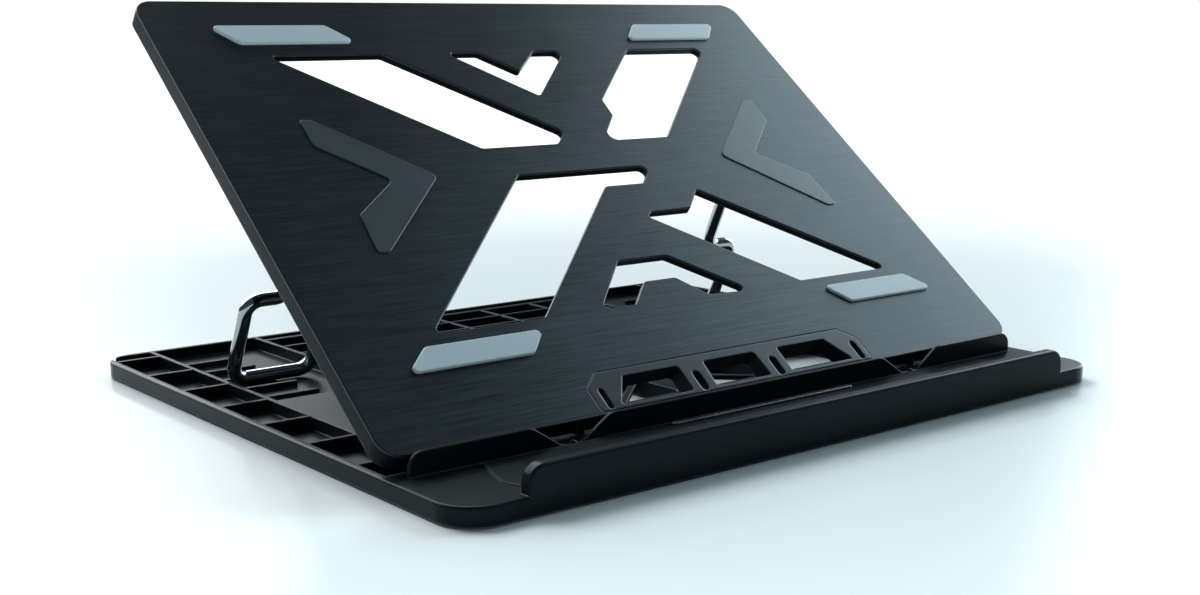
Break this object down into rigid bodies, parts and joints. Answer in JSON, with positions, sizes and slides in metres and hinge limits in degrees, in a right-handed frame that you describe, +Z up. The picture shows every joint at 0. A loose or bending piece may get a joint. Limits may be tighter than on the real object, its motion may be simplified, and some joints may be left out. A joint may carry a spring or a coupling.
{
  "type": "laptop riser",
  "caption": "Folding laptop riser: ribbed base tray, tilting slotted plate with grip pads, and chromed wire legs that step along a ladder in the base.",
  "frame": {"origin": "on the table, under the middle of the base", "axes": "+X to the right along the width, +Y to the rear, +Z up; the user sits at -Y"},
  "size_m": [0.36, 0.308, 0.1755],
  "materials": {
    "base_plastic": "fine moulded texture, satin black",
    "frame_plastic": "moulded, satin black",
    "brushed_skin": "brushed across the width, dark anodised",
    "insert_plastic": "satin black",
    "pad_silicone": "matt silicone, light blue-grey",
    "inlay_silicone": "matt silicone, mid grey",
    "foot_rubber": "matt black rubber",
    "pin_steel": "drawn steel pin",
    "clip_plastic": "satin black",
    "screw_steel": "zinc-plated steel",
    "chrome_wire": "chromed steel wire"
  },
  "bodies": {
    "base": {"base_tray": "base_plastic", "rubber_foot_front_left": "foot_rubber", "rubber_foot_front_right": "foot_rubber", "rubber_foot_rear_left": "foot_rubber", "rubber_foot_rear_right": "foot_rubber", "tray_grip_strip": "foot_rubber", "hinge_pin_left": "pin_steel", "hinge_pin_right": "pin_steel"},
    "plate": {"plate_frame": "frame_plastic", "top_skin": "brushed_skin", "vent_insert": "insert_plastic", "grip_pad_front_left": "pad_silicone", "grip_pad_front_right": "pad_silicone", "grip_pad_rear_left": "pad_silicone", "grip_pad_rear_right": "pad_silicone", "chevron_pad_left": "inlay_silicone", "chevron_pad_right": "inlay_silicone", "leg_clip_left_outer": "clip_plastic", "leg_clip_left_inner": "clip_plastic", "leg_clip_right_inner": "clip_plastic", "leg_clip_right_outer": "clip_plastic", "clip_screws": "screw_steel"},
    "left_leg": {"support_leg_left": "chrome_wire"},
    "right_leg": {"support_leg_right": "chrome_wire"}
  },
  "joints": [
    {"name": "plate_tilt", "type": "hinge", "parent": "base", "child": "plate", "pos_m": [0, -0.09928, 0.01302], "axis": [1, 0, 0], "range_deg": [0, 51.6]},
    {"name": "left_leg_fold", "type": "hinge", "parent": "plate", "child": "left_leg", "pos_m": [-0.128, 0.02878, 0.11145], "axis": [1, 0, 0], "range_deg": [-77.2, 0]},
    {"name": "right_leg_fold", "type": "hinge", "parent": "plate", "child": "right_leg", "pos_m": [0.128, 0.02878, 0.11145], "axis": [1, 0, 0], "range_deg": [-77.2, 0]}
  ],
  "couplings": [
    {"joint": "left_leg_fold", "follows": "plate_tilt", "ratio": -1.4942},
    {"joint": "right_leg_fold", "follows": "plate_tilt", "ratio": -1.4942}
  ]
}
